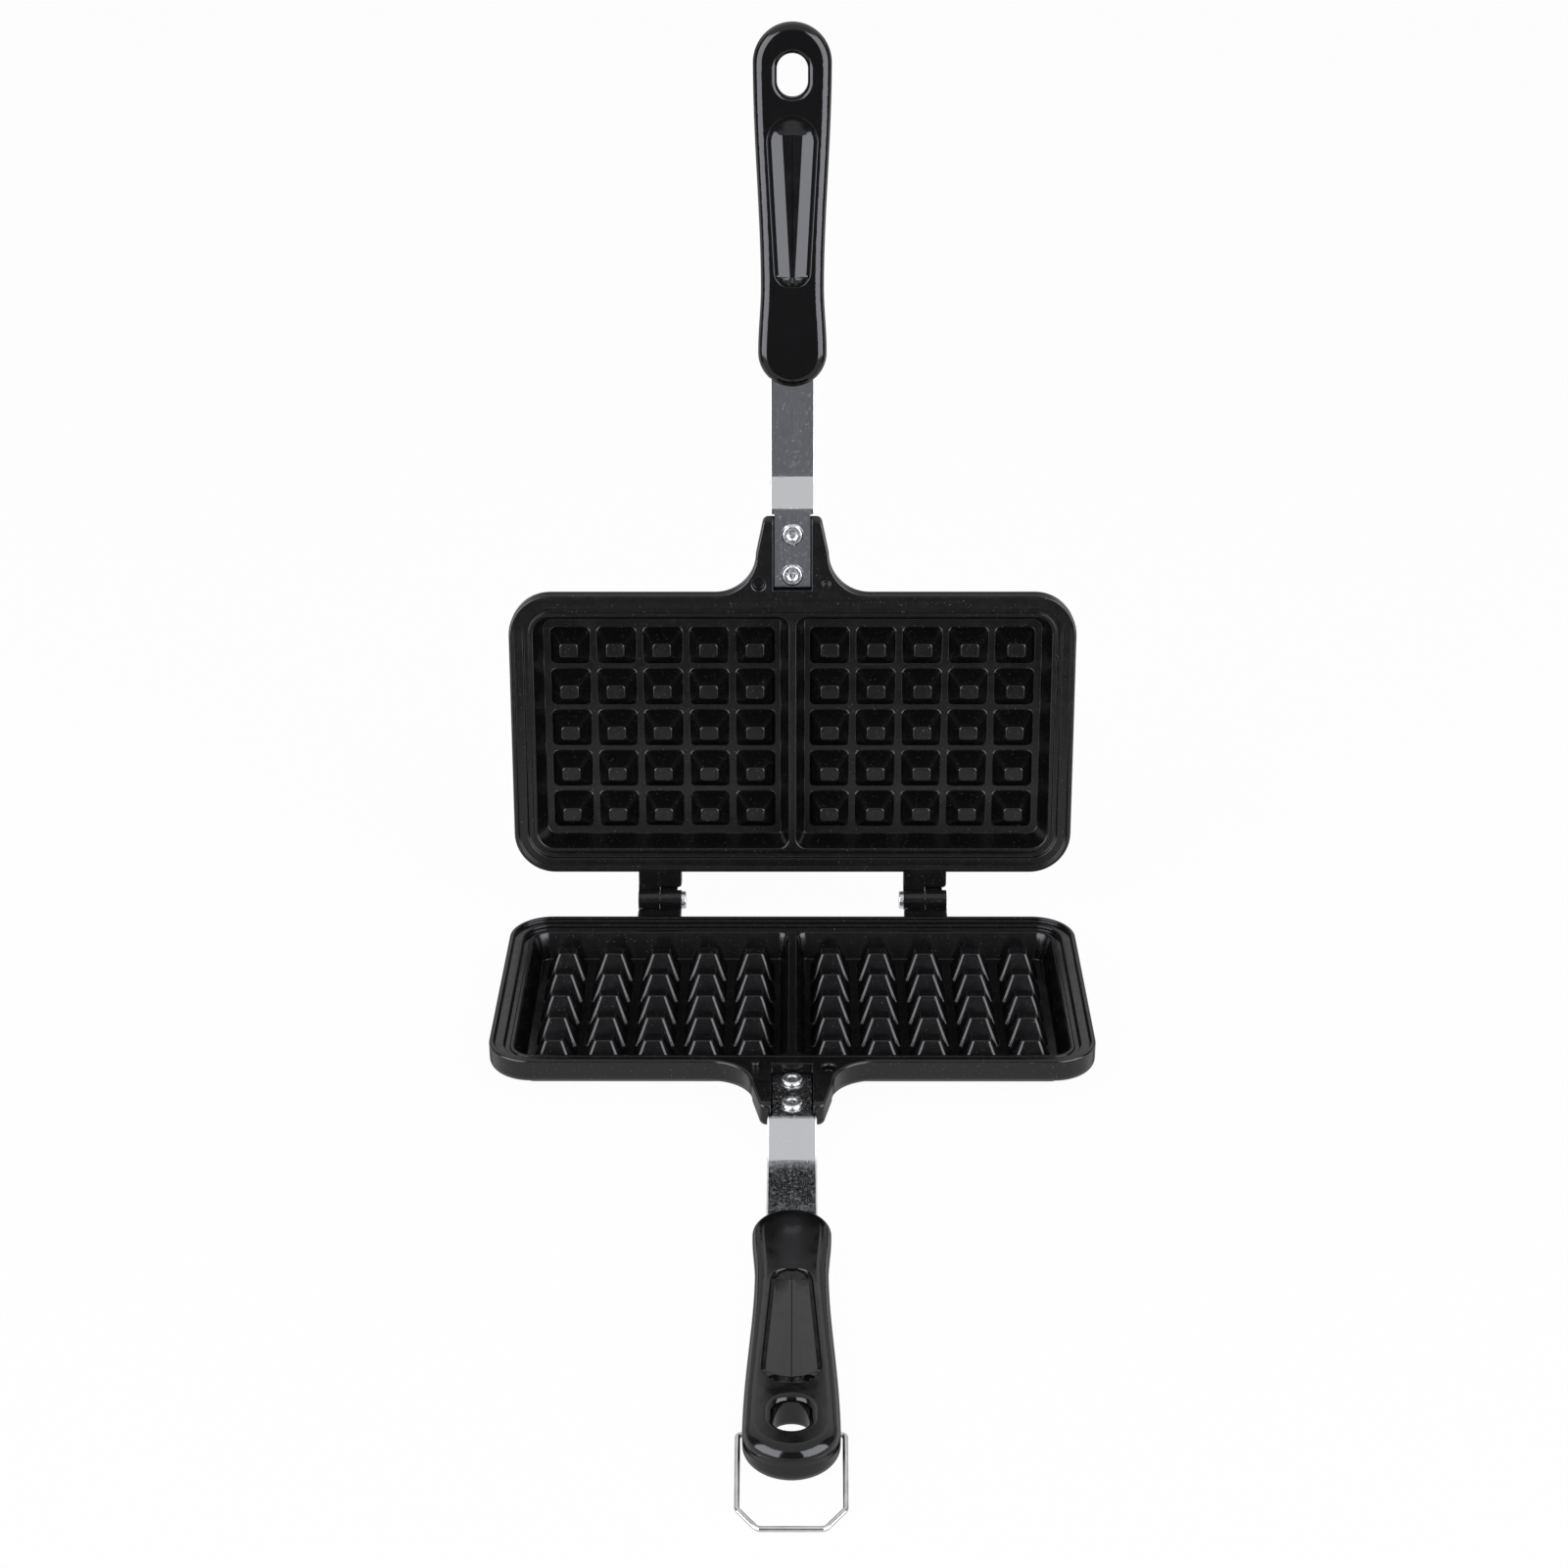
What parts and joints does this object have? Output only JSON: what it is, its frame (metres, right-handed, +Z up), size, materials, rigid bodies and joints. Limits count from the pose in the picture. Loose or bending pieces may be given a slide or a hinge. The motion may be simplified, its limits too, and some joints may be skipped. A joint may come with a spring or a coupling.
{
  "type": "waffle pan",
  "caption": "Double-sided stove-top waffle pan, held open: hinged cast plates with pyramid grids, bright strap handles, black grips and a wire bail that locks over both grips.",
  "frame": {"origin": "centre of the flat underside of the lower plate, on the table", "axes": "X across the pan to the right, Y from the handles towards the hinge, Z up; the lower half lies flat and the upper half is raised to its stop"},
  "size_m": [0.194, 0.3712, 0.309],
  "materials": {
    "cast_plate": "cast aluminium under a satin black non-stick coating",
    "strap_steel": "bright plated steel strap",
    "rivet_metal": "bright aluminium rivet",
    "grip_plastic": "glossy black heat-resistant moulding",
    "screw_steel": "plain steel screw",
    "pin_steel": "plain steel pin",
    "wire_steel": "drawn stainless wire"
  },
  "bodies": {
    "lower": {"lower_plate": "cast_plate", "lower_strap": "strap_steel", "lower_front_rivet": "rivet_metal", "lower_rear_rivet": "rivet_metal", "lower_grip": "grip_plastic", "lower_grip_screw": "screw_steel", "lower_hinge_pin": "pin_steel"},
    "upper": {"upper_plate": "cast_plate", "upper_strap": "strap_steel", "upper_front_rivet": "rivet_metal", "upper_rear_rivet": "rivet_metal", "upper_grip": "grip_plastic", "upper_grip_screw": "screw_steel", "upper_hinge_pin": "pin_steel"},
    "bail": {"bail": "wire_steel"}
  },
  "joints": [
    {"name": "lid_hinge", "type": "hinge", "parent": "lower", "child": "upper", "pos_m": [0, 0.05945, 0.016], "axis": [1, 0, 0], "range_deg": [0, 97.8]},
    {"name": "bail_pivot", "type": "hinge", "parent": "lower", "child": "bail", "pos_m": [0, -0.2223, 0.004], "axis": [-1, 0, 0], "range_deg": [-165, 104]}
  ]
}
